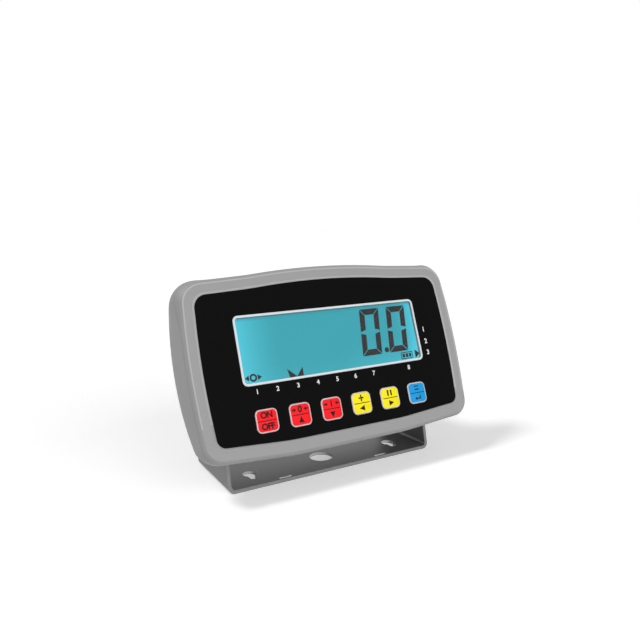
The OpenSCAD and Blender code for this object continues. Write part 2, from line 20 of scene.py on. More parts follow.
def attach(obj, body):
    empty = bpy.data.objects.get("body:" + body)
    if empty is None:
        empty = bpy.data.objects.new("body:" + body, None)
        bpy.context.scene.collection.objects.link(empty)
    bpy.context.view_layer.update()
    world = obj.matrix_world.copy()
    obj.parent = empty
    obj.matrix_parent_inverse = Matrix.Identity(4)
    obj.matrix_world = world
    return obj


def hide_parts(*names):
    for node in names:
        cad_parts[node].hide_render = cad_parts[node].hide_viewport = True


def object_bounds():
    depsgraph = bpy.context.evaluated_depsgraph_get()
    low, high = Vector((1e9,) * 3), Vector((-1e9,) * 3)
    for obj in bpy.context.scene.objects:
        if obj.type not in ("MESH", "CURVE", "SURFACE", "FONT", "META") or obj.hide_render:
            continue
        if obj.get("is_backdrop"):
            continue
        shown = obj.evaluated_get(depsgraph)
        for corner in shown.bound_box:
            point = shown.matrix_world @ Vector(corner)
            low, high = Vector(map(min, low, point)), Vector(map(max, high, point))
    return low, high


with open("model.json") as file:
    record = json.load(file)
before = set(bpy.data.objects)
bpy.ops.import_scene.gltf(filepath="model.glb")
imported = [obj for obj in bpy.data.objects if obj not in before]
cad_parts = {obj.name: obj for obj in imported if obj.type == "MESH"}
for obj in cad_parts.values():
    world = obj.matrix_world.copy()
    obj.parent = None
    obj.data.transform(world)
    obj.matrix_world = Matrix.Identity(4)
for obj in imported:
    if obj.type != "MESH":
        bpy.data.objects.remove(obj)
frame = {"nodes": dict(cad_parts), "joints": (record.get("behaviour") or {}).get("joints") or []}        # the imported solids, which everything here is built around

MM = 0.001
PHOTO_SIDE = 640
SMOOTH_STEPS = 15        # samples of a smoothing window
MERGE = 0.0004           # millimetres under which points of a flat drawing are one
SHARP = 35.0             # degrees above which an edge is shaded sharp
SHARP_ROLLED = 40.0      # the same on rolled edges
SHARP_PRINT = 60.0       # the same on prints
log = logging.getLogger("indicator")


class Pigment(Enum):
    """Colours of the object, as linear red, green and blue."""

    HOUSING = (0.300, 0.300, 0.300)
    # painted highlight: a lighter grey laid on bands of the face where light catches the edge
    HOUSING_EDGE = (0.410, 0.410, 0.410)
    REAR = (0.285, 0.285, 0.285)
    FILM = (0.0032, 0.0032, 0.0032)
    PRINT_WHITE = (0.80, 0.80, 0.80)
    KEY_EDGE = (0.62, 0.56, 0.56)
    PRINT_BLACK = (0.018, 0.010, 0.010)
    BORDER = (0.69, 0.72, 0.74)
    LCD = (0.045, 0.415, 0.500)
    LCD_GLOW = (0.090, 0.660, 0.830)
    # painted shade: the darker cyan under the top edge of the cell
    LCD_SHADE = (0.040, 0.270, 0.340)
    SEGMENT = (0.048, 0.040, 0.043)
    KEY_RED = (1.0, 0.003, 0.010)
    KEY_YELLOW = (1.0, 0.838, 0.004)
    KEY_BLUE = (0.004, 0.330, 0.750)
    COAT = (0.146, 0.146, 0.146)
    # partly the bare steel of a cut edge, partly a painted highlight on the rims of the plate's
    # holes
    CUT_EDGE = (0.75, 0.75, 0.76)
    RUBBER = (0.018, 0.018, 0.018)
    KNOB = (0.014, 0.014, 0.015)
    ZINC = (0.56, 0.56, 0.58)
    NICKEL = (0.62, 0.60, 0.56)
    BRASS = (0.68, 0.47, 0.17)
    BOARD = (0.020, 0.130, 0.045)
    BLOCK = (0.030, 0.210, 0.070)
    CASE = (0.030, 0.033, 0.038)
    WINDOW = (0.050, 0.060, 0.060)
    BLACK = (0.0, 0.0, 0.0)
    WHITE = (1.0, 1.0, 1.0)
    FLOOR = (0.80, 0.80, 0.80)
    IVORY = (0.72, 0.69, 0.60)


@dataclass(frozen=True)
class HeadFrame:
    """Place and turn of the head at rest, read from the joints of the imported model."""

    origin: np.ndarray
    back: np.ndarray
    up: np.ndarray

    @staticmethod
    def from_joints(joints: Sequence[dict], depth: float, drop: float) -> "HeadFrame":
        """Finds the face from the tilt axis and the direction in which a key is pressed.

        Args:
            joints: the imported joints.
            depth: distance of the tilt axis behind the face, in millimetres.
            drop: distance of the tilt axis under the middle of the display, in millimetres.

        Returns:
            The head's frame, in metres.
        """
        by_name = {j["name"]: j for j in joints}
        back = np.array(by_name["power_press"]["axis"], float)
        back /= np.linalg.norm(back)
        up = np.cross((1.0, 0.0, 0.0), back)
        pivot = np.array(by_name["tilt"]["pos_m"], float)
        return HeadFrame(pivot - back * depth * MM + up * drop * MM, back, up)

    def place(self, points: np.ndarray) -> np.ndarray:
        """World places in metres of head points (x, w, v) in millimetres."""
        p = np.asarray(points, float) * MM
        across = np.array((1.0, 0.0, 0.0))
        return self.origin + p[..., :1] * across + p[..., 1:2] * self.back + p[..., 2:3] * self.up

    def matrix(self, x: float, w: float, v: float) -> Matrix:
        """Matrix that lays a flat drawing in millimetres on the face at a depth w."""
        base = self.place(np.array((x, w, v)))
        columns = np.column_stack(((1.0, 0.0, 0.0), self.up, -self.back)) * MM
        rows = np.eye(4)
        rows[:3, :3] = columns
        rows[:3, 3] = base
        return Matrix(rows.tolist())


HEAD = HeadFrame.from_joints(frame["joints"], depth=43.0, drop=5.0)


class Maths:
    """One value of a shader graph, on which Python's operators add Math nodes."""

    def __init__(self, graph: "Graph", socket: bpy.types.NodeSocket) -> None:
        """Keeps the graph and the socket that carries the value."""
        self.graph = graph
        self.socket = socket

    def _do(self, operation: str, *values: "Maths | float") -> "Maths":
        """Adds one Math node on the values."""
        made = self.graph.node("ShaderNodeMath", {"operation": operation}, *values)
        return Maths(self.graph, made)

    def __add__(self, other: "Maths | float") -> "Maths":
        """Sum."""
        return self._do("ADD", self, other)

    def __sub__(self, other: "Maths | float") -> "Maths":
        """Difference."""
        return self._do("SUBTRACT", self, other)

    def __mul__(self, other: "Maths | float") -> "Maths":
        """Product."""
        return self._do("MULTIPLY", self, other)

    def __pow__(self, other: "Maths | float") -> "Maths":
        """Power."""
        return self._do("POWER", self, other)

    def __rsub__(self, other: float) -> "Maths":
        """Difference from a number."""
        return self._do("SUBTRACT", other, self)

    def __rpow__(self, other: float) -> "Maths":
        """Power of a number."""
        return self._do("POWER", other, self)

    __radd__ = __add__
    __rmul__ = __mul__

    def clamp(self) -> "Maths":
        """Value held between 0 and 1."""
        return self._do("MINIMUM", self._do("MAXIMUM", self, 0.0), 1.0)

    def larger(self, other: "Maths | float") -> "Maths":
        """Larger of two values."""
        return self._do("MAXIMUM", self, other)


class Graph:
    """Node tree of a material or of a world."""

    def __init__(self, owner: bpy.types.Material | bpy.types.World, end: str) -> None:
        """Empties the owner's tree and gives it an output node of the type end."""
        owner.use_nodes = True
        self.tree = owner.node_tree
        self.tree.nodes.clear()
        self.end = self.tree.nodes.new(end)

    def link(self, source: bpy.types.NodeSocket, target: bpy.types.NodeSocket) -> None:
        """Joins two sockets."""
        self.tree.links.new(source, target)

    def node(self, kind: str, settings: dict, *values: object, out: int | str = 0,
             **named: object) -> bpy.types.NodeSocket:
        """Adds a node.

        Args:
            kind: Blender's name of the node type.
            settings: properties that are set before any socket.
            values: values or sources of the first input sockets, in order.
            out: which output socket is returned.
            named: values or sources of sockets by name, with _ for a space.

        Returns:
            The output socket asked for.
        """
        made = self.tree.nodes.new(kind)
        for key, value in settings.items():
            setattr(made, key, value)
        targets = list(zip(made.inputs, values))
        targets += [(made.inputs[key.replace("_", " ")], value) for key, value in named.items()]
        for target, value in targets:
            self.feed(target, value)
        return made.outputs[out]

    def feed(self, target: bpy.types.NodeSocket, value: object) -> None:
        """Sets a socket to a constant, or joins it to a source."""
        if isinstance(value, Maths):
            value = value.socket
        if isinstance(value, bpy.types.NodeSocket):
            self.link(value, target)
        elif isinstance(value, tuple) and len(value) == 3 and target.type == "RGBA":
            target.default_value = (*value, 1.0)
        else:
            target.default_value = value

    def place(self, scale: float = 1.0) -> bpy.types.NodeSocket:
        """Object coordinates. A scale under 1 draws a pattern out along X."""
        where = self.node("ShaderNodeTexCoord", {}, out="Object")
        return self.node("ShaderNodeMapping", {}, where, Scale=(scale, 1.0, 1.0))

    def noise(self, scale: float, detail: float = 2.0, drawn: float = 1.0) -> Maths:
        """Cloudy noise of about 1/scale metres, drawn out along X by a value under 1."""
        return Maths(self, self.node("ShaderNodeTexNoise", {}, self.place(drawn), Scale=scale,
                                     Detail=detail, Roughness=0.5))

    def seen(self) -> Maths:
        """1 for rays from the camera and for those that gloss and glass send, 0 for light."""
        path = self.tree.nodes.new("ShaderNodeLightPath")
        camera, gloss, glass = (Maths(self, path.outputs[f"Is {kind} Ray"])
                                for kind in ("Camera", "Glossy", "Transmission"))
        return camera.larger(gloss).larger(glass)

    def mix(self, share: Maths | float, low: object, high: object) -> bpy.types.NodeSocket:
        """Colour between low and high by a share."""
        made = self.tree.nodes.new("ShaderNodeMix")
        made.data_type = "RGBA"
        for index, value in ((0, share), (6, low), (7, high)):
            self.feed(made.inputs[index], value)
        return made.outputs[2]


class Finish(Graph):
    """Node tree of one new material, with a Principled shader at its end."""

    def __init__(self, name: str) -> None:
        """Makes a material of this name."""
        self.material = bpy.data.materials.new(name)
        super().__init__(self.material, "ShaderNodeOutputMaterial")
        self.shader = self.tree.nodes.new("ShaderNodeBsdfPrincipled")
        self.link(self.shader.outputs[0], self.end.inputs[0])

    def set(self, **sockets: object) -> None:
        """Sets or feeds sockets of the Principled shader, with _ for a space."""
        for key, value in sockets.items():
            self.feed(self.shader.inputs[key.replace("_", " ")], value)

    def bump(self, height: Maths, strength: float, distance: float) -> None:
        """Raises the surface by a height, distance in metres."""
        self.set(Normal=self.node("ShaderNodeBump", {}, Strength=strength, Distance=distance,
                                  Height=height))


@dataclass(frozen=True)
class Moulding:
    """Moulded plastic with a spark-eroded grain and faint flow marks."""

    name: str
    pigment: Pigment
    roughness: float = 0.5
    grain: float = 3400.0
    relief: float = 0.12
    mottle: float = 0.05
    drift: float = 22.0
    relief_m: float = 0.00012

    def material(self) -> bpy.types.Material:
        """Builds the material: grain by fine noise, colour drift by a slow one."""
        g = Finish(self.name)
        grain = g.noise(self.grain, 3.0)
        drift = g.noise(self.drift, 3.0)
        dark = tuple(c * (1.0 - self.mottle) for c in self.pigment.value)
        light = tuple(min(1.0, c * (1.0 + self.mottle)) for c in self.pigment.value)
        g.set(Base_Color=g.mix((drift * 0.6 + grain * 0.4).clamp(), dark, light),
              Roughness=(grain - 0.5) * 0.16 + (drift - 0.5) * 0.08 + self.roughness,
              IOR=1.48, Specular_IOR_Level=0.42)
        g.bump(grain, self.relief, self.relief_m)
        return g.material


@dataclass(frozen=True)
class CoatedSheet:
    """Powder coated steel sheet: a satin coat with orange peel and finer specks."""

    name: str
    pigment: Pigment = Pigment.COAT
    peel: float = 520.0
    specks: float = 4200.0
    drift: float = 16.0
    roughness: float = 0.40
    metal: float = 0.45
    relief: float = 0.10
    relief_m: float = 0.00025

    def material(self) -> bpy.types.Material:
        """Builds the material: peel by slow noise, specks by fine noise."""
        g = Finish(self.name)
        peel = g.noise(self.peel)
        specks = g.noise(self.specks)
        drift = g.noise(self.drift, 3.0)
        dark = tuple(c * 0.86 for c in self.pigment.value)
        light = tuple(c * 1.12 for c in self.pigment.value)
        g.set(Base_Color=g.mix((drift * 0.6 + specks * 0.4).clamp(), dark, light),
              Roughness=(specks - 0.5) * 0.18 + (drift - 0.5) * 0.10 + self.roughness,
              Metallic=self.metal, Specular_IOR_Level=0.5)
        g.bump(peel * 0.7 + specks * 0.3, self.relief, self.relief_m)
        return g.material


@dataclass(frozen=True)
class Film:
    """Printed polyester film: an even colour under a finely matt surface."""

    name: str
    pigment: Pigment
    roughness: float = 0.36
    gloss: float = 0.3
    grain: float = 5200.0
    drift: float = 30.0
    relief: float = 0.06
    relief_m: float = 0.00006

    def material(self) -> bpy.types.Material:
        """Builds the material: a fine velvet grain and a slow drift of gloss."""
        g = Finish(self.name)
        grain = g.noise(self.grain)
        drift = g.noise(self.drift)
        dark = tuple(c * 0.92 for c in self.pigment.value)
        light = tuple(min(1.0, c * 1.06) for c in self.pigment.value)
        g.set(Base_Color=g.mix(grain, dark, light),
              Roughness=(grain - 0.5) * 0.10 + (drift - 0.5) * 0.08 + self.roughness,
              IOR=1.5, Specular_IOR_Level=self.gloss)
        g.bump(grain, self.relief, self.relief_m)
        return g.material


@dataclass(frozen=True)
class Metal:
    """Turned or plated metal with fine tool marks."""

    name: str
    pigment: Pigment
    roughness: float = 0.28
    streaks: float = 2600.0
    drawn: float = 0.15
    drift: float = 90.0
    relief: float = 0.05
    relief_m: float = 0.00005

    def material(self) -> bpy.types.Material:
        """Builds the material: streaks by noise drawn out along X."""
        g = Finish(self.name)
        streaks = g.noise(self.streaks, 3.0, self.drawn)
        drift = g.noise(self.drift)
        dark = tuple(c * 0.88 for c in self.pigment.value)
        g.set(Base_Color=g.mix((drift * 0.5 + streaks * 0.5).clamp(), dark, self.pigment.value),
              Metallic=1.0,
              Roughness=(streaks - 0.5) * 0.2 + (drift - 0.5) * 0.12 + self.roughness)
        g.bump(streaks, self.relief, self.relief_m)
        return g.material


@dataclass(frozen=True)
class ClearWindow:
    """Clear film window, seen by its gloss alone."""

    name: str = "window_film"
    drift: float = 40.0
    roughness: float = 0.12
    alpha: float = 0.04

    def material(self) -> bpy.types.Material:
        """Builds the material: nearly transparent, with a slow drift of gloss."""
        g = Finish(self.name)
        drift = g.noise(self.drift)
        g.set(Base_Color=Pigment.WINDOW.value, Roughness=(drift - 0.5) * 0.06 + self.roughness,
              Alpha=self.alpha, Specular_IOR_Level=0.1)
        g.material.surface_render_method = "BLENDED"
        return g.material


@dataclass(frozen=True)
class BacklitCell:
    """Backlit liquid crystal: an even cyan, brighter by the ends and the foot, shaded at the head.

    Each glow is a triple: how fast it fades from its edge, the power of the fade and its weight.
    """

    name: str = "backlit_cell"
    glow_strength: float = 0.93
    left_glow: tuple[float, float, float] = (4.6, 1.6, 0.95)
    right_glow: tuple[float, float, float] = (9.0, 1.4, 0.95)
    foot_glow: tuple[float, float, float] = (4.0, 1.5, 0.12)
    head_shade: tuple[float, float, float] = (16.0, 1.5, 0.75)
    corner_fade: float = 2.4
    corner_weight: float = 0.45
    cloud: float = 26.0
    cloud_weight: float = 0.12

    def material(self) -> bpy.types.Material:
        """Builds the material from the cell's own UV: u across, v up, both from 0 to 1."""
        g = Finish(self.name)
        uv = g.node("ShaderNodeUVMap", {"uv_map": "cell"})
        split = g.tree.nodes.new("ShaderNodeSeparateXYZ")
        g.link(uv, split.inputs[0])
        u, v = Maths(g, split.outputs[0]), Maths(g, split.outputs[1])
        def fade(away: Maths, glow: tuple[float, float, float]) -> Maths:
            """Glow by an edge, from the distance to it."""
            rate, power, weight = glow
            return (1.0 - away * rate).clamp() ** power * weight
        corner = (u * 2.0 - 1.0).clamp() * (1.0 - v * self.corner_fade).clamp()
        cloud = (g.noise(self.cloud, 1.0) - 0.5) * self.cloud_weight
        bright = (fade(u, self.left_glow) + fade(1.0 - u, self.right_glow)
                  + fade(v, self.foot_glow) + corner * self.corner_weight + cloud).clamp()
        lit = g.mix(bright, Pigment.LCD.value, Pigment.LCD_GLOW.value)
        # painted shade: the cell's glow is darkened towards its top edge, where the edge of the
        # opening shadows it
        shown = g.mix(fade(1.0 - v, self.head_shade), lit, Pigment.LCD_SHADE.value)
        g.set(Base_Color=Pigment.BLACK.value, Roughness=0.45, Specular_IOR_Level=0.1,
              Emission_Color=shown, Emission_Strength=self.glow_strength)
        return g.material


def smoothed(values: Callable[[np.ndarray], np.ndarray], x: np.ndarray,
             reach: float) -> np.ndarray:
    """Mean of a function over a window of half width reach, which rounds its corners off.

    Args:
        values: the function, on arrays.
        x: where it is wanted.
        reach: half width of the window.

    Returns:
        The rounded values.
    """
    steps = np.linspace(-reach, reach, SMOOTH_STEPS)
    weight = np.cos(steps / reach * math.pi / 2.0)
    return (values(x[..., None] + steps) * weight).sum(-1) / weight.sum()


@dataclass(frozen=True)
class FaceOutline:
    """Outline of the front cover and of everything that runs parallel to it."""

    half_w: float = 93.5
    top_h: float = 47.0
    low_h: float = 62.8
    brow_x: float = 48.5
    brow_r: float = 455.0
    shoulder_fall: float = 0.05
    flat_x: float = 39.0
    keel_rise: float = 0.068
    side_mid: float = -5.0
    side_bow_r: float = 470.0
    top_corner_r: float = 13.5
    low_corner_r: float = 11.0
    margin: float = 8.8
    film_top_r: float = 7.8
    film_low_r: float = 5.5
    least_r: float = 0.8
    top_soft: float = 7.0
    low_soft: float = 9.0
    arc_end: float = 0.02
    top_steps: int = 30
    corner_steps: int = 16
    side_steps: int = 18
    foot_steps: int = 14
    low_steps: int = 26

    def top(self, x: np.ndarray, inset: float) -> np.ndarray:
        """Top edge: a shallow arc over the brow, then a straight fall, joined softly."""
        def drop(q: np.ndarray) -> np.ndarray:
            """Fall below the crown."""
            a = np.abs(q)
            return np.minimum(a, self.brow_x) ** 2 / (2.0 * self.brow_r) + \
                np.maximum(0.0, a - self.brow_x) * self.shoulder_fall
        return self.top_h - inset - smoothed(drop, x, self.top_soft)

    def low(self, x: np.ndarray, inset: float) -> np.ndarray:
        """Bottom edge: flat in the middle, then a straight rise, joined softly."""
        def rise(q: np.ndarray) -> np.ndarray:
            """Rise above the keel."""
            return np.maximum(0.0, np.abs(q) - self.flat_x) * self.keel_rise
        return inset - self.low_h + smoothed(rise, x, self.low_soft)

    def side(self, v: np.ndarray, inset: float) -> np.ndarray:
        """Side edge: a slow outward bow."""
        return self.half_w - inset - (v - self.side_mid) ** 2 / (2.0 * self.side_bow_r)

    def ring(self, inset: float) -> np.ndarray:
        """Points round the outline, the same count for every inset.

        Args:
            inset: how far the outline is drawn in.

        Returns:
            Array of (x, v), clockwise from the middle of the top.
        """
        share = inset / self.margin
        rt = max(self.least_r, self.top_corner_r + (self.film_top_r - self.top_corner_r) * share)
        rl = max(self.least_r, self.low_corner_r + (self.film_low_r - self.low_corner_r) * share)
        v_top = self.top(np.array(self.half_w), inset) - rt
        x_top = self.side(v_top, inset) - rt
        v_top = self.top(np.array(x_top), inset) - rt
        v_low = self.low(np.array(self.half_w), inset) + rl
        x_low = self.side(v_low, inset) - rl
        v_low = self.low(np.array(x_low), inset) + rl
        turn = math.atan(self.shoulder_fall)
        lift = math.atan(self.keel_rise)
        x = np.linspace(0.0, x_top + rt * math.sin(turn), self.top_steps)[:-1]
        top = np.column_stack((x, self.top(x, inset)))
        a = np.linspace(math.pi / 2.0 - turn, self.arc_end, self.corner_steps)
        corner = np.column_stack((x_top + rt * np.cos(a), v_top + rt * np.sin(a)))
        v = np.linspace(corner[-1, 1], v_low, self.side_steps)[1:-1]
        side = np.column_stack((self.side(v, inset), v))
        a = np.linspace(-self.arc_end, lift - math.pi / 2.0, self.foot_steps)
        foot = np.column_stack((x_low + rl * np.cos(a), v_low + rl * np.sin(a)))
        x = np.linspace(foot[-1, 0], 0.0, self.low_steps)[1:]
        low = np.column_stack((x, self.low(x, inset)))
        half = np.concatenate((top, corner, side, foot, low))
        other = half[1:-1][::-1] * (-1.0, 1.0)
        return np.concatenate((half, other))


@dataclass(frozen=True)
class BackSwell:
    """Curved back of the front cover: an ellipse in the side view."""

    depth: float = 26.2
    middle: float = -3.0
    reach: float = 60.0
    least: float = 10.0

    def at(self, v: np.ndarray, less: float = 0.0) -> np.ndarray:
        """Depth of the back at height v, drawn in by less."""
        curve = np.sqrt(np.maximum(0.0, 1.0 - ((v - self.middle) / self.reach) ** 2))
        return np.maximum(self.least, self.depth * curve) - less


OUTLINE = FaceOutline()
SWELL = BackSwell()


def grid_faces(rows: int, cols: int, wrap_rows: bool, wrap_cols: bool = True) -> np.ndarray:
    """Quads between the points of a grid.

    Args:
        rows: rings of the grid.
        cols: points of a ring.
        wrap_rows: whether the last ring joins the first.
        wrap_cols: whether a ring is closed.

    Returns:
        Array of corner indices, four to a face.
    """
    r = np.arange(rows if wrap_rows else rows - 1)[:, None]
    c = np.arange(cols if wrap_cols else cols - 1)[None, :]
    r2, c2 = (r + 1) % rows, (c + 1) % cols
    quads = np.stack((r * cols + c, r * cols + c2, r2 * cols + c2, r2 * cols + c), -1)
    return quads.reshape(-1, 4)


class Shape:
    """Vertices in metres and faces, gathered until they become one object."""

    def __init__(self) -> None:
        """Starts empty."""
        self.points: list[np.ndarray] = []
        self.faces: list[tuple[int, ...]] = []
        self.count = 0

    def add(self, points: np.ndarray, faces: Sequence[Sequence[int]]) -> None:
        """Adds a closed surface whose faces count from its own first vertex."""
        self.points.append(np.asarray(points, float).reshape(-1, 3))
        self.faces += [tuple(int(i) + self.count for i in face) for face in faces]
        self.count += len(self.points[-1])

    def add_rings(self, rings: np.ndarray, closed: bool) -> None:
        """Adds a surface through rings of equal count, joined to itself or capped.

        Args:
            rings: array (rings, points, 3) in the head's millimetres.
            closed: True joins the last ring to the first, False caps both ends.
        """
        rows, cols = rings.shape[:2]
        faces = [tuple(f) for f in grid_faces(rows, cols, closed)]
        if not closed:
            faces += [tuple(range(cols))[::-1], tuple((rows - 1) * cols + k for k in range(cols))]
        self.add(HEAD.place(rings), faces)

    def add_object(self, source: bpy.types.Object) -> None:
        """Adds a mesh object's world-space mesh and deletes the object."""
        data = source.data
        co = np.empty(len(data.vertices) * 3)
        data.vertices.foreach_get("co", co)
        world = np.array(source.matrix_world)
        co = co.reshape(-1, 3) @ world[:3, :3].T + world[:3, 3]
        self.add(co, [tuple(p.vertices) for p in data.polygons])
        bpy.data.objects.remove(source)

    def build(self, name: str, material: bpy.types.Material,
              sharp: float = SHARP) -> bpy.types.Object:
        """Makes the object, with smooth shading up to an angle in degrees."""
        mesh = bpy.data.meshes.new(name)
        mesh.from_pydata(np.concatenate(self.points).tolist(), [], self.faces)
        mesh.validate()
        outward(mesh)
        mesh.polygons.foreach_set("use_smooth", np.ones(len(mesh.polygons), bool))
        mesh.set_sharp_from_angle(angle=math.radians(sharp))
        mesh.materials.append(material)
        made = bpy.data.objects.new(name, mesh)
        bpy.context.scene.collection.objects.link(made)
        return made


def outward(mesh: bpy.types.Mesh) -> None:
    """Turns the faces of closed surfaces outwards."""
    work = bmesh.new()
    work.from_mesh(mesh)
    bmesh.ops.recalc_face_normals(work, faces=work.faces)
    work.to_mesh(mesh)
    work.free()


def flat_plate(outline: np.ndarray, holes: Sequence[np.ndarray], front: float, back: float,
               bevel: float = 0.0) -> bpy.types.Object:
    """Flat plate with holes, parallel to the face.

    Args:
        outline: array of (x, v).
        holes: outlines of the openings.
        front: depth of the front face.
        back: depth of the back face.
        bevel: rounding of all edges.

    Returns:
        A mesh object in the world, not yet a piece.
    """
    curve = bpy.data.curves.new("plate", "CURVE")
    curve.dimensions = "2D"
    curve.fill_mode = "BOTH"
    curve.extrude = (back - front) / 2.0 - bevel
    curve.bevel_depth = bevel
    curve.bevel_resolution = 1
    for loop in (outline, *holes):
        spline = curve.splines.new("POLY")
        spline.points.add(len(loop) - 1)
        flat = np.column_stack((loop, np.zeros(len(loop)), np.ones(len(loop))))
        spline.points.foreach_set("co", flat.ravel())
        spline.use_cyclic_u = True
    world = HEAD.matrix(0.0, (front + back) / 2.0, 0.0)
    return as_mesh(bpy.data.objects.new("plate", curve), world)


def as_mesh(source: bpy.types.Object, world: Matrix) -> bpy.types.Object:
    """Turns a curve or a text into a mesh object at a place, with touching points merged."""
    bpy.context.scene.collection.objects.link(source)
    bpy.context.view_layer.update()
    evaluated = source.evaluated_get(bpy.context.evaluated_depsgraph_get())
    mesh = bpy.data.meshes.new_from_object(evaluated)
    bpy.data.objects.remove(source)
    work = bmesh.new()
    work.from_mesh(mesh)
    bmesh.ops.remove_doubles(work, verts=work.verts, dist=MERGE)
    work.to_mesh(mesh)
    work.free()
    made = bpy.data.objects.new("flat", mesh)
    bpy.context.scene.collection.objects.link(made)
    made.matrix_world = world
    bpy.context.view_layer.update()
    return made


def rounded(w: float, h: float, r: float, x: float = 0.0, v: float = 0.0,
            steps: int = 10) -> np.ndarray:
    """Rectangle with round corners about (x, v), as an array of (x, v)."""
    a = np.linspace(0.0, math.pi / 2.0, steps)
    arc = np.column_stack((np.cos(a), np.sin(a))) * r
    parts = []
    for k, (sx, sv) in enumerate(((1, 1), (-1, 1), (-1, -1), (1, -1))):
        c, s = math.cos(k * math.pi / 2.0), math.sin(k * math.pi / 2.0)
        middle = (sx * (w / 2.0 - r) + x, sv * (h / 2.0 - r) + v)
        parts.append(arc @ np.array(((c, s), (-s, c))) + middle)
    return np.concatenate(parts)


def circle(r: float, x: float, v: float, steps: int = 32) -> np.ndarray:
    """Circle about (x, v)."""
    a = np.linspace(0.0, 2.0 * math.pi, steps, endpoint=False)
    return np.column_stack((x + r * np.cos(a), v + r * np.sin(a)))


def stacked(loops: Sequence[tuple[np.ndarray, float]]) -> np.ndarray:
    """Rings in the head's frame from (outline, depth) pairs of equal count."""
    return np.stack([np.insert(loop, 1, depth, axis=1) for loop, depth in loops])


def dress(node: str, material: bpy.types.Material) -> None:
    """Gives a CAD node its finish."""
    carried = frame["nodes"][node]
    carried.data.materials.clear()
    carried.data.materials.append(material)


def keep(piece: bpy.types.Object, body: str, slot: str, *nodes: str) -> None:
    """Rides a finished piece on a body, hides the CAD nodes it stands for, and reports it."""
    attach(piece, body)
    if nodes:
        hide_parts(*nodes)
    log.info("%s rides on %s", piece.name, body)


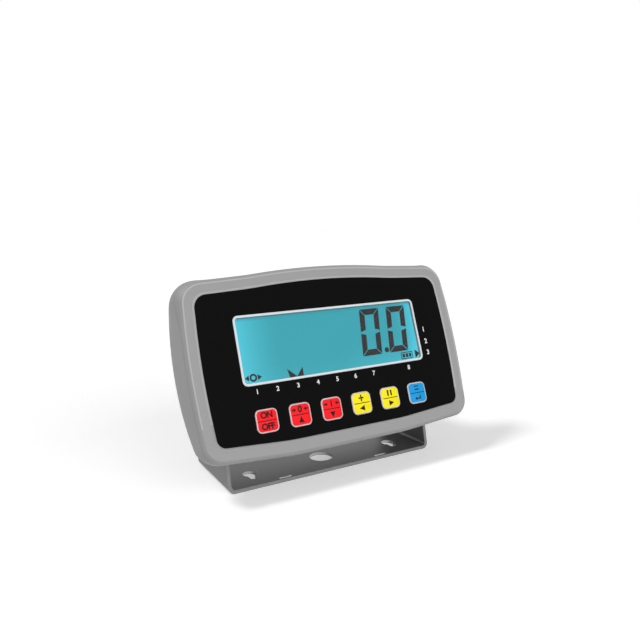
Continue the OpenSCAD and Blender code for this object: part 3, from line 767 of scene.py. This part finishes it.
@dataclass
class Housing:
    """Front cover and rear cover of the head.

    A step of the lip is (share of its width outwards, share of its depth). A highlight row counts
    the rings of the front from the inside, where a painted highlight, a lighter line along the
    edge and round the pocket, is laid.
    """

    wall: float = 2.6
    ledge: float = 1.6
    edge_in: float = 2.1
    edge_deep: float = 3.0
    edge_start: float = math.radians(50.0)
    edge_steps: int = 10
    wall_shares: tuple[float, ...] = (0.2, 0.4, 0.6, 0.8)
    # width of the face band inside the edge that carries the painted highlight
    line_w: float = 0.8
    # face rows painted with the highlight grey, and the height under which it is left off
    highlight_rows: tuple[int, ...] = (2, 3, 6, 7)
    highlight_low: float = -44.0
    lip_w: float = 1.15
    lip_deep: float = 0.34
    lip_steps: tuple[tuple[float, float], ...] = ((0.0, 1.0), (0.55, 0.36), (1.0, 0.0), (1.5, 0.0))
    pocket: float = 0.5
    rim_r: float = 0.5
    rim_steps: int = 4
    seat: float = 3.2
    face_in: float = 14.0
    lap: float = 0.02
    crease: float = 20.0
    corner_swell: float = 2.0
    corner_deep: float = 9.0
    corner_x: tuple[float, float] = (70.0, 91.0)
    corner_v: tuple[float, float] = (14.0, 36.0)

    def build(self, keys: "Keypad", display: "Display") -> None:
        """Makes the front cover and dresses what stays as packed."""
        skin = Moulding("housing_grain", Pigment.HOUSING)
        shape = Shape()
        shape.add_rings(self.front_rings(), closed=True)
        holes = [display.opening()] + [keys.opening(i) for i in range(len(KEYS))]
        inner = OUTLINE.ring(self.face_in - self.lap)
        shape.add_object(flat_plate(inner, holes, self.pocket, self.wall))
        cover = shape.build("front_moulding", skin.material(), self.crease)
        # painted highlight: a lighter grey on the lip round the pocket and on the band along the
        # edge, left off along the bottom
        line = Moulding("housing_edge_grain", Pigment.HOUSING_EDGE)
        cover.data.materials.append(line.material())
        height = OUTLINE.ring(0.0)[:, 1]
        for row in self.highlight_rows:
            for column in np.nonzero(height > self.highlight_low)[0]:
                cover.data.polygons[row * len(height) + int(column)].material_index = 1
        keep(cover, "head", "housing_grey", "front_cover")
        rear = Moulding("rear_grain", Pigment.REAR, roughness=0.55, relief=0.16).material()
        for node in ("rear_cover", "battery_door"):
            dress(node, rear)

    def cornered(self, outer: np.ndarray) -> np.ndarray:
        """Share from 0 to 1 by which each point of the outline lies in a top corner."""
        def ramp(values: np.ndarray, ends: tuple[float, float]) -> np.ndarray:
            """Soft step from 0 to 1 between two ends."""
            t = np.clip((values - ends[0]) / (ends[1] - ends[0]), 0.0, 1.0)
            return t * t * (3.0 - 2.0 * t)
        return ramp(np.abs(outer[:, 0]), self.corner_x) * ramp(outer[:, 1], self.corner_v)

    def swollen(self, inset: float, depth: np.ndarray, share: float,
                corner: np.ndarray) -> np.ndarray:
        """Ring that swells out at the top corners, kept within the width of the head.

        Args:
            inset: how far the ring is drawn in away from the corners.
            depth: depth of each point.
            share: how much of the corner swell it has.
            corner: share by which each point lies in a corner.

        Returns:
            Array (points, 3).
        """
        plain = OUTLINE.ring(inset)
        wide = OUTLINE.ring(inset - self.corner_swell * share)
        ring = plain + (wide - plain) * corner[:, None]
        widest = OUTLINE.half_w - self.lap
        ring[:, 0] = np.clip(ring[:, 0], -widest, widest)
        return np.insert(ring, 1, depth, axis=1)

    def front_rings(self) -> np.ndarray:
        """Rings of the frame: pocket, lip, face, broken edge, side wall, back rim and inner wall.

        Each ring is the outline drawn in by an inset. The edge breaks from the face at an angle
        and turns back along part of an ellipse, which is wider and deeper at the top corners.

        Returns:
            Array (rings, points, 3).
        """
        m = OUTLINE.margin
        flat = [(self.face_in, self.pocket), (m, self.pocket)]
        flat += [(m - self.lip_w * out, self.lip_deep * deep) for out, deep in self.lip_steps]
        flat += [(self.edge_in + self.line_w * share, 0.0) for share in (1.0, 0.5, 0.0)]
        loops = [np.insert(OUTLINE.ring(inset), 1, depth, axis=1) for inset, depth in flat]
        outer = OUTLINE.ring(0.0)
        corner = self.cornered(outer)
        rim = SWELL.at(outer[:, 1], self.rim_r)
        turned = self.edge_deep + (self.corner_deep - self.edge_deep) * corner
        a0 = self.edge_start
        for a in np.linspace(a0, math.pi / 2.0, self.edge_steps)[1:]:
            out = (math.sin(a) - math.sin(a0)) / (1.0 - math.sin(a0))
            back = 1.0 - math.cos(a) / math.cos(a0)
            loops.append(self.swollen(self.edge_in * (1.0 - out), turned * back, out, corner))
        for share in self.wall_shares:
            depth = turned + (rim - turned) * share
            loops.append(self.swollen(0.0, depth, 1.0 - share ** 2, corner))
        for a in np.linspace(0.0, math.pi / 2.0, self.rim_steps):
            ring = OUTLINE.ring(self.rim_r * (1.0 - math.cos(a)))
            less = self.rim_r * (1.0 - math.sin(a))
            loops.append(np.insert(ring, 1, SWELL.at(ring[:, 1], less), axis=1))
        for inset, less in ((self.wall, 0.0), (self.wall, self.seat),
                            (self.wall + self.ledge, self.seat)):
            ring = OUTLINE.ring(inset)
            loops.append(np.insert(ring, 1, SWELL.at(ring[:, 1], less), axis=1))
        for inset in (self.wall + self.ledge, self.face_in):
            loops.append(np.insert(OUTLINE.ring(inset), 1, self.wall, axis=1))
        return np.stack(loops)


class KeyColour(Enum):
    """Colour of a key: its pigment and its material slot."""

    RED = (Pigment.KEY_RED, "key_red")
    YELLOW = (Pigment.KEY_YELLOW, "key_yellow")
    BLUE = (Pigment.KEY_BLUE, "key_blue")


@dataclass(frozen=True)
class KeyPlan:
    """One key and its legend, whose places are counted from the middle of the key.

    A word is (text, height, v, weight), a bar is (width, height, corner, x, v), an arrow is
    (x, v, length, way) and a triangle is (v, degrees).
    """

    name: str
    colour: KeyColour
    words: tuple[tuple[str, float, float, float], ...] = ()
    bars: tuple[tuple[float, float, float, float, float], ...] = ()
    arrows: tuple[tuple[float, float, float, int], ...] = ()
    triangles: tuple[tuple[float, float], ...] = ()


INWARD = ((-3.9, 3.0, 2.9, 1), (3.9, 3.0, 2.9, -1))
KEYS = (
    KeyPlan("power", KeyColour.RED, words=(("ON", 4.8, 3.1, 0.04), ("OFF", 4.8, -3.3, 0.04))),
    KeyPlan("zero", KeyColour.RED, words=(("0", 5.2, 3.0, 0.035),), arrows=INWARD,
            triangles=((-3.1, 90),)),
    KeyPlan("tare", KeyColour.RED, bars=((0.8, 3.8, 0.3, 0.0, 3.0),), arrows=INWARD,
            triangles=((-3.1, -90),)),
    KeyPlan("memory", KeyColour.YELLOW, triangles=((-3.1, 180),),
            bars=((3.6, 0.9, 0.3, 0.0, 3.1), (0.9, 1.5, 0.3, 0.0, 4.35),
                  (0.9, 1.5, 0.3, 0.0, 1.85))),
    KeyPlan("hold", KeyColour.YELLOW, triangles=((-3.1, 0),),
            bars=((1.1, 3.6, 0.3, -1.2, 3.1), (1.1, 3.6, 0.3, 1.2, 3.1))),
    KeyPlan("enter", KeyColour.BLUE, arrows=((-0.3, -3.6, 4.0, -1),),
            bars=((3.4, 0.75, 0.3, 0.0, 4.2), (3.4, 0.75, 0.3, 0.0, 2.2),
                  (0.75, 2.2, 0.2, 1.75, -2.85))),
)


@dataclass
class Keypad:
    """Printed film with six keys."""

    pitch: float = 20.95
    row: float = -40.7
    key_w: float = 13.5
    key_h: float = 13.2
    corner_r: float = 2.9
    gap: float = 0.25
    proud: float = 0.25
    roll: float = 0.45
    roll_steps: int = 5
    outline_w: float = 0.22
    lip_w: float = 1.4
    lip_front: float = 2.9
    lip_back: float = 3.9
    front: float = 0.1
    back: float = 0.5
    fit: float = 0.12
    print_t: float = 0.03
    print_root: float = 0.02
    line_in: float = 1.3
    line_t: float = 0.45
    triangle_r: float = 2.2
    below_v: float = -24.0
    below_x: tuple[float, ...] = (-55.3, -42.6, -29.4, -16.2, -3.0, 9.9, 23.2, 50.2)
    below_h: float = 3.8
    beside_x: float = 67.8
    beside_v: tuple[float, ...] = (-0.9, -8.8, -16.2)
    beside_h: float = 4.4

    def x(self, i: int) -> float:
        """Middle of key i."""
        return (i - (len(KEYS) - 1) / 2.0) * self.pitch

    def opening(self, i: int) -> np.ndarray:
        """Opening of key i in the film and in the face."""
        return self.tile(i, self.gap, self.corner_r + self.gap)

    def tile(self, i: int, more: float, r: float) -> np.ndarray:
        """Outline of key i, larger by more, with corners of radius r."""
        return rounded(self.key_w + 2 * more, self.key_h + 2 * more, r, self.x(i), self.row)

    def build(self, display: "Display") -> None:
        """Makes the film, its white figures and the six keys with their legends."""
        film = Shape()
        holes = [display.outer(display.gap)] + [self.opening(i) for i in range(len(KEYS))]
        edge = OUTLINE.ring(OUTLINE.margin + self.fit)
        film.add_object(flat_plate(edge, holes, self.front, self.back))
        satin = Film("film_black_satin", Pigment.FILM, 0.5, 0.02).material()
        keep(film.build("keypad_film", satin), "head", "film_black", "keypad_overlay")
        white = Film("print_white_film", Pigment.PRINT_WHITE).material()
        pale = Film("key_edge_film", Pigment.KEY_EDGE).material()
        black = Film("print_black_film", Pigment.PRINT_BLACK, gloss=0.05).material()
        ivory = Moulding("stem_ivory", Pigment.IVORY).material()
        paints = {colour: Film(f"{colour.value[1]}_film", colour.value[0], gloss=0.1).material()
                  for colour in KeyColour}
        for i, plan in enumerate(KEYS):
            self.cap(i, plan, paints[plan.colour])
            self.edge(i, plan.name, pale)
            self.legend(i, plan, black)
            dress(f"{plan.name}_stem", ivory)
        self.figures(white)

    def cap(self, i: int, plan: KeyPlan, paint: bpy.types.Material) -> None:
        """Key cap: a slightly crowned top with a rolled edge over straight sides and a lip."""
        side = self.tile(i, 0.0, self.corner_r)
        lip = self.tile(i, self.lip_w, self.corner_r)
        loops = self.rolled(i, 0.0)
        loops += [(side, self.lip_front), (lip, self.lip_front), (lip, self.lip_back)]
        shape = Shape()
        shape.add_rings(stacked(loops), closed=False)
        keep(shape.build(f"{plan.name}_cap", paint, SHARP_ROLLED), f"{plan.name}_button",
             plan.colour.value[1], f"{plan.name}_key")

    def rolled(self, i: int, lift: float) -> list[tuple[np.ndarray, float]]:
        """Rings of a key's rolled edge, from the top outwards by a quarter circle.

        Args:
            i: which key.
            lift: how far the rings stand off the key.

        Returns:
            Pairs of an outline and its depth.
        """
        loops = []
        for a in np.linspace(0.0, math.pi / 2.0, self.roll_steps):
            inset = self.roll * (1.0 - math.sin(a)) - lift * math.sin(a)
            depth = -self.proud - lift + self.roll * (1.0 - math.cos(a))
            loops.append((self.tile(i, -inset, self.corner_r - inset), depth))
        return loops

    def edge(self, i: int, name: str, paint: bpy.types.Material) -> None:
        """Pale outline printed round a key's top."""
        inset = self.roll + self.outline_w
        inner = self.tile(i, -inset, self.corner_r - inset)
        over, under = self.rolled(i, self.print_t), self.rolled(i, -self.print_t)
        loops = [(inner, under[0][1]), (inner, over[0][1])] + over + under[::-1]
        shape = Shape()
        shape.add_rings(stacked(loops), closed=True)
        keep(shape.build(f"{name}_edge_print", paint, SHARP_PRINT), f"{name}_button",
             "white_plastic")

    def legend(self, i: int, plan: KeyPlan, ink: bpy.types.Material) -> None:
        """Black legend of a key: its own marks, and a line across the middle."""
        x, row, depth = self.x(i), self.row, -self.proud - self.print_t
        shape = Shape()
        for text, height, v, weight in plan.words:
            shape.add_object(lettering(text, height, x, row + v, depth, weight))
        marks = [rounded(self.key_w - 2 * self.line_in, self.line_t, 0.2, x, row, 4)]
        marks += [rounded(w, h, r, x + dx, row + v, 4) for w, h, r, dx, v in plan.bars]
        for dx, v, length, way in plan.arrows:
            marks += arrow(x + dx, row + v, length, way)
        marks += [triangle(x, row + v, self.triangle_r, degrees) for v, degrees in plan.triangles]
        for mark in marks:
            shape.add_object(flat_plate(mark, (), depth, depth + self.print_t + self.print_root))
        keep(shape.build(f"{plan.name}_legend", ink, SHARP_PRINT), f"{plan.name}_button",
             "black_plastic")

    def figures(self, ink: bpy.types.Material) -> None:
        """White figures on the film under the window and to its right."""
        depth = self.front - self.print_t
        shape = Shape()
        for k, x in enumerate(self.below_x):
            shape.add_object(lettering(str(k + 1), self.below_h, x, self.below_v, depth))
        for k, v in enumerate(self.beside_v):
            shape.add_object(lettering(str(k + 1), self.beside_h, self.beside_x, v, depth))
        keep(shape.build("film_figures", ink, SHARP_PRINT), "head", "white_plastic")


def lettering(text: str, height: float, x: float, v: float, depth: float, weight: float = 0.022,
              thick: float = 0.05) -> bpy.types.Object:
    """Generic figures or ON and OFF, centred on a place of the face."""
    data = bpy.data.curves.new("letters", "FONT")
    data.body = text
    data.size = height
    data.align_x = "CENTER"
    data.align_y = "CENTER"
    data.extrude = thick / 2.0
    data.offset = height * weight
    data.space_character = 0.92
    return as_mesh(bpy.data.objects.new("letters", data), HEAD.matrix(x, depth + thick / 2.0, v))


def triangle(x: float, v: float, size: float, degrees: float) -> np.ndarray:
    """Triangle that points along an angle."""
    a = np.radians(degrees + np.array((0.0, 130.0, 230.0)))
    return np.column_stack((x + size * np.cos(a), v + size * np.sin(a)))


def arrow(x: float, v: float, length: float, way: int, head: float = 1.5) -> list[np.ndarray]:
    """Small arrow along the row, as a shaft and a head."""
    tip, half = x + way * length / 2.0, head * 0.8
    neck = tip - way * head
    wedge = np.array(((tip, v), (neck, v + half), (neck, v - half)))
    return [rounded(length - head, 0.75, 0.2, x - way * head / 2.0, v, 3), wedge]


@dataclass
class Display:
    """Window, backlit cell and its dark marks.

    Places of the marks are (x, v) as seen on the face. eye is how far the camera's ray goes along
    x and v for each millimetre of depth. The sign of the battery is (x, v, width, height).
    """

    window_w: float = 126.0
    window_h: float = 40.5
    border: float = 1.3
    corner_r: float = 3.2
    window_front: float = 0.1
    gap: float = 0.15
    fit: float = 0.02
    border_over: float = 0.05
    border_under: float = 0.06
    cell_front: float = 1.75
    cell_corner_r: float = 1.3
    cell_step: float = 2.6
    cell_back: float = 5.4
    cell_w: float = 128.0
    cell_h: float = 44.0
    digit_w: float = 14.4
    digit_h: float = 29.6
    stroke: float = 3.8
    slit: float = 0.26
    waist: tuple[float, float] = (0.5, 1.55)
    slant: float = math.tan(math.radians(6.5))
    mark_t: float = 0.03
    mark_root: float = 0.01
    eye: tuple[float, float] = (0.579, 0.121)
    digits: tuple[tuple[float, float], ...] = ((18.0, -13.0), (38.3, -13.0))
    point: tuple[float, float] = (36.4, -10.9)
    point_r: float = 1.7
    pointers: tuple[tuple[tuple[float, float], ...], ...] = (
        ((-35.0, -13.7), (-34.0, -18.9), (-29.0, -18.9)),
        ((-24.9, -13.7), (-24.9, -18.9), (-29.3, -18.9)),
        ((-61.8, -15.9), (-59.3, -14.2), (-59.3, -17.6)),
        ((-51.3, -15.9), (-53.9, -14.2), (-53.9, -17.6)),
        ((57.4, -13.2), (57.4, -18.8), (61.2, -16.0)))
    zero: tuple[float, float] = (-56.6, -15.9)
    zero_r: tuple[float, float] = (2.3, 1.2)
    battery: tuple[float, float, float, float] = (50.9, -16.2, 9.2, 4.4)
    battery_wall: float = 0.5
    charge_x: tuple[float, ...] = (48.4, 50.9, 53.4)
    charge_w: float = 1.9
    charge_h: float = 2.4

    def outer(self, more: float = 0.0) -> np.ndarray:
        """Outline of the window, larger by more."""
        return rounded(self.window_w + 2 * more, self.window_h + 2 * more, self.corner_r + more)

    def opening(self) -> np.ndarray:
        """Opening of the face under the window."""
        b = self.border
        return rounded(self.window_w - 2 * b, self.window_h - 2 * b, self.corner_r - b)

    def build(self) -> None:
        """Makes the printed border, the cell and its marks, and dresses the window."""
        dress("display_window", ClearWindow().material())
        edge = Shape()
        front = self.window_front
        edge.add_object(flat_plate(self.outer(-self.fit), (self.opening(),),
                                   front - self.border_over, front + self.border_under))
        ink = Film("border_print", Pigment.BORDER).material()
        keep(edge.build("window_border", ink, SHARP_PRINT), "head", "white_plastic")
        self.cell()
        self.marks()
        guide = Moulding("light_guide_white", Pigment.IVORY).material()
        for node in ("lcd_backlight", "lcd_holder"):
            dress(node, guide)

    def cell(self) -> None:
        """Backlit cell whose front stands up into the opening of the face."""
        less = 2 * (self.border + self.gap)
        w, h = self.window_w - less, self.window_h - less
        front = rounded(w, h, self.cell_corner_r)
        foot = rounded(self.cell_w, self.cell_h, self.cell_corner_r)
        step = self.cell_step + self.fit
        rings = stacked(((front, self.cell_front), (front, step), (foot, step),
                         (foot, self.cell_back)))
        shape = Shape()
        shape.add_rings(rings, closed=False)
        piece = shape.build("backlit_cell", BacklitCell().material(), SHARP_ROLLED)
        layer = piece.data.uv_layers.new(name="cell")
        corner = np.empty(len(piece.data.loops), np.int32)
        piece.data.loops.foreach_get("vertex_index", corner)
        local = rings.reshape(-1, 3)
        uv = np.column_stack((local[:, 0] / w + 0.5, local[:, 2] / h + 0.5))[corner]
        layer.data.foreach_set("uv", uv.astype(np.float32).ravel())
        keep(piece, "head", "lcd_cyan", "lcd_glass")

    def digit_zero(self, x: float, v: float) -> list[np.ndarray]:
        """Six bars of a seven-segment zero, mitred at the corners, leaning to the right.

        Args:
            x: left foot of the digit.
            v: bottom of the digit.

        Returns:
            Outlines of the bars.
        """
        w, h, t, g = self.digit_w, self.digit_h, self.stroke, self.slit
        out, mid = self.waist
        half = h / 2.0
        bars = [
            ((g, h), (w - g, h), (w - t - g, h - t), (t + g, h - t)),
            ((g, 0.0), (w - g, 0.0), (w - t - g, t), (t + g, t)),
            ((0.0, h - g), (t, h - t - g), (t, half + mid), (0.0, half + out)),
            ((0.0, g), (t, t + g), (t, half - mid), (0.0, half - out)),
            ((w, h - g), (w - t, h - t - g), (w - t, half + mid), (w, half + out)),
            ((w, g), (w - t, t + g), (w - t, half - mid), (w, half - out)),
        ]
        shaped = []
        for bar in bars:
            p = np.array(bar)
            shaped.append(np.column_stack((x + p[:, 0] + self.slant * p[:, 1], v + p[:, 1])))
        return shaped

    def marks(self) -> None:
        """Digits, point, pointers, zero mark and battery sign on the front of the cell.

        The places are as seen on the face, so each is moved on along the camera's ray to the
        depth of the cell.
        """
        dx, dv = self.cell_front * self.eye[0], self.cell_front * self.eye[1]
        shapes = [bar for x, v in self.digits for bar in self.digit_zero(x, v)]
        shapes.append(circle(self.point_r, *self.point, 20))
        shapes += [np.array(corners) for corners in self.pointers]
        x, v, w, h = self.battery
        shapes += [rounded(self.charge_w, self.charge_h, 0.2, at, v, 3) for at in self.charge_x]
        outer, inner = (circle(r, *self.zero, 24) for r in self.zero_r)
        less = 2 * self.battery_wall
        cut = [(outer, inner),
               (rounded(w, h, 0.6, x, v, 4), rounded(w - less, h - less, 0.3, x, v, 4))]
        front, back = self.cell_front - self.mark_t, self.cell_front + self.mark_root
        ink = Shape()
        shift = np.array((dx, dv))
        for outline in shapes:
            ink.add_object(flat_plate(outline + shift, (), front, back))
        for outline, hole in cut:
            ink.add_object(flat_plate(outline + shift, (hole + shift,), front, back))
        dark = Film("segment_dark", Pigment.SEGMENT, 0.5, 0.05).material()
        keep(ink.build("display_marks", dark, SHARP_PRINT), "head", "black_plastic")


@dataclass
class Fittings:
    """Bracket, clamps, fasteners, sockets and the pieces inside.

    keyhole is (x, distance behind the front edge, radius, length and half width of its neck) and
    slot is (x, distance behind the front edge, length, half width), for the right-hand ones.
    """

    sheet_t: float = 2.0
    front: float = -20.3
    hole_r: float = 7.75
    keyhole: tuple[float, float, float, float, float] = (51.5, 18.6, 4.2, 6.5, 2.3)
    slot: tuple[float, float, float, float] = (34.4, 2.3, 9.1, 0.95)
    lining: float = 0.04
    clear: float = 0.06
    least: float = 0.001

    def hole_edges(self) -> None:
        """Bare sheared walls of the holes in the plate, as thin linings, in a bright matt white
        that is partly the bare cut steel and partly a painted highlight along the rims of the
        holes.
        """
        x, back, r, neck, n = self.keyhole
        sx, sback, run, sr = self.slot
        shape = Shape()
        self.line(shape, lambda less: circle(self.hole_r - less, 0.0, 0.0, 48))
        y, slot_y = self.front + back, self.front + sback
        for side in (-1, 1):
            self.line(shape, lambda less, at=side * x: self.keyhole_outline(
                at, y, r - less, neck, n - less))
            self.line(shape, lambda less, at=side * sx: rounded(
                run - 2 * less, 2 * (sr - less), sr - less - self.least, at, slot_y, 6))
        # painted highlight: the linings are a bright matt white so the rims of the holes read as
        # light lines; partly the lighter bare cut steel
        bare_and_highlight = Film("cut_edge", Pigment.CUT_EDGE, 0.45).material()
        keep(shape.build("hole_edges", bare_and_highlight, SHARP_ROLLED), "bracket", "zinc_steel")

    def keyhole_outline(self, x: float, y: float, r: float, neck: float, n: float) -> np.ndarray:
        """Round end with a neck towards the front, counter-clockwise."""
        open_a = math.asin(n / r)
        a = np.linspace(-math.pi / 2.0 + open_a, 1.5 * math.pi - open_a, 24)
        b = np.linspace(math.pi, 2.0 * math.pi, 12)
        big = np.column_stack((x + r * np.cos(a), y + r * np.sin(a)))
        end = np.column_stack((x + n * np.cos(b), y - neck + n * np.sin(b)))
        return np.concatenate((big, end))

    def line(self, shape: Shape, outline: Callable[[float], np.ndarray]) -> None:
        """Adds a closed lining between an outline and the same drawn in, through the sheet."""
        low, high = self.clear, self.sheet_t - self.clear
        rings = [np.insert(outline(less), 2, z, axis=1) for less, z in
                 ((self.least, low), (self.least, high), (self.lining, high), (self.lining, low))]
        faces = [tuple(f) for f in grid_faces(4, len(rings[0]), True)]
        shape.add(np.stack(rings) * MM, faces)

    def build(self) -> None:
        """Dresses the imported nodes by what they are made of."""
        self.hole_edges()
        coat = CoatedSheet("bracket_coat").material()
        rubber = Moulding("rubber_black", Pigment.RUBBER, roughness=0.75, relief=0.2).material()
        knob = Moulding("knob_black", Pigment.KNOB, 0.45, grain=2600.0, relief=0.2).material()
        zinc = Metal("zinc_plate", Pigment.ZINC).material()
        nickel = Metal("nickel_plate", Pigment.NICKEL, 0.22).material()
        brass = Metal("turned_brass", Pigment.BRASS, 0.25).material()
        board = Moulding("board_mask", Pigment.BOARD, roughness=0.3).material()
        block = Moulding("terminal_green", Pigment.BLOCK).material()
        case = Moulding("battery_case", Pigment.CASE, roughness=0.5).material()
        plans = (
            (coat, ("bracket",)),
            (rubber, ("cover_gasket", "pivot_washers", "battery_pads")),
            (knob, ("left_knob", "right_knob", "power_jack", "switch_bodies", "buzzer",
                    "processor")),
            (zinc, ("left_stud", "right_stud", "cover_screws", "board_screws", "door_screws",
                    "serial_jackscrews")),
            (nickel, ("serial_port", "load_cell_socket")),
            (brass, ("pivot_inserts",)),
            (board, ("main_board",)),
            (block, ("terminal_blocks",)),
            (case, ("battery",)),
        )
        for material, nodes in plans:
            for node in nodes:
                dress(node, material)


@dataclass(frozen=True)
class Lamp:
    """Far lamp that shines along a direction, spread in degrees."""

    name: str
    way: tuple[float, float, float]
    spread: float
    strength: float

    def build(self) -> None:
        """Puts the lamp into the scene."""
        data = bpy.data.lights.new(self.name, "SUN")
        data.angle = math.radians(self.spread)
        data.energy = self.strength
        made = bpy.data.objects.new(self.name, data)
        made.rotation_euler = Vector(self.way).to_track_quat("-Z", "Y").to_euler()
        bpy.context.scene.collection.objects.link(made)


@dataclass(frozen=True)
class Studio:
    """Camera, lamps, floor and background."""

    eye: tuple[float, float, float] = (-0.19215, -0.34647, 0.15601)
    forward: tuple[float, float, float] = (0.4813, 0.8621, -0.1588)
    up: tuple[float, float, float] = (0.0949, 0.1288, 0.9871)
    focal_px: float = 635.0
    sensor: float = 36.0
    reach: float = 6.0
    background: float = 1.0
    soft: float = 0.22
    floor_glow: float = 0.39
    lamps: tuple[Lamp, ...] = (Lamp("front_light", (-0.22, 0.92, -0.33), 50.0, 1.9),
                               Lamp("shadow_light", (0.62, -0.17, -1.0), 14.0, 1.45))

    def build(self) -> None:
        """Sets the camera, the lamps, the floor and the world."""
        self.camera()
        self.floor()
        for lamp in self.lamps:
            lamp.build()
        self.world()
        bpy.context.scene.view_settings.view_transform = "Standard"

    def camera(self) -> None:
        """Camera at the photograph's place, turned by its own axes."""
        forward = Vector(self.forward).normalized()
        up = Vector(self.up)
        up = (up - forward * up.dot(forward)).normalized()
        side = forward.cross(up)
        data = bpy.data.cameras.new("photo_camera")
        data.sensor_width = self.sensor
        data.sensor_height = self.sensor
        data.lens = self.sensor * self.focal_px / PHOTO_SIDE
        data.clip_start = 0.01
        seen = bpy.data.objects.new("photo_camera", data)
        turn = Matrix((side, up, -forward)).transposed().to_4x4()
        seen.matrix_world = Matrix.Translation(self.eye) @ turn
        bpy.context.scene.collection.objects.link(seen)
        bpy.context.scene.camera = seen

    def floor(self) -> None:
        """White floor whose unshaded part renders as the white background."""
        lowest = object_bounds()[0][2]
        r = self.reach
        mesh = bpy.data.meshes.new("floor")
        corners = [(-r, -r, lowest), (r, -r, lowest), (r, r, lowest), (-r, r, lowest)]
        mesh.from_pydata(corners, [], [(0, 1, 2, 3)])
        made = bpy.data.objects.new("floor", mesh)
        bpy.context.scene.collection.objects.link(made)
        g = Finish("floor_white")
        g.set(Base_Color=Pigment.FLOOR.value, Roughness=0.9, Specular_IOR_Level=0.0,
              Emission_Color=Pigment.WHITE.value, Emission_Strength=g.seen() * self.floor_glow)
        mesh.materials.append(g.material)
        made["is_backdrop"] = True

    def world(self) -> None:
        """White to the eye and in gloss, a softer white as a light."""
        world = bpy.data.worlds.new("studio")
        g = Graph(world, "ShaderNodeOutputWorld")
        soft, plain = (g.node("ShaderNodeBackground", {}, Pigment.WHITE.value, strength)
                       for strength in (self.soft, self.background))
        g.link(g.node("ShaderNodeMixShader", {}, g.seen(), soft, plain), g.end.inputs[0])
        bpy.context.scene.world = world


def main() -> None:
    """Builds every sub-assembly."""
    logging.basicConfig(level=logging.INFO, format="%(name)s: %(message)s")
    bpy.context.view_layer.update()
    Studio().build()
    display = Display()
    keypad = Keypad()
    Housing().build(keypad, display)
    keypad.build(display)
    display.build()
    Fittings().build()


if __name__ == "__main__":
    main()
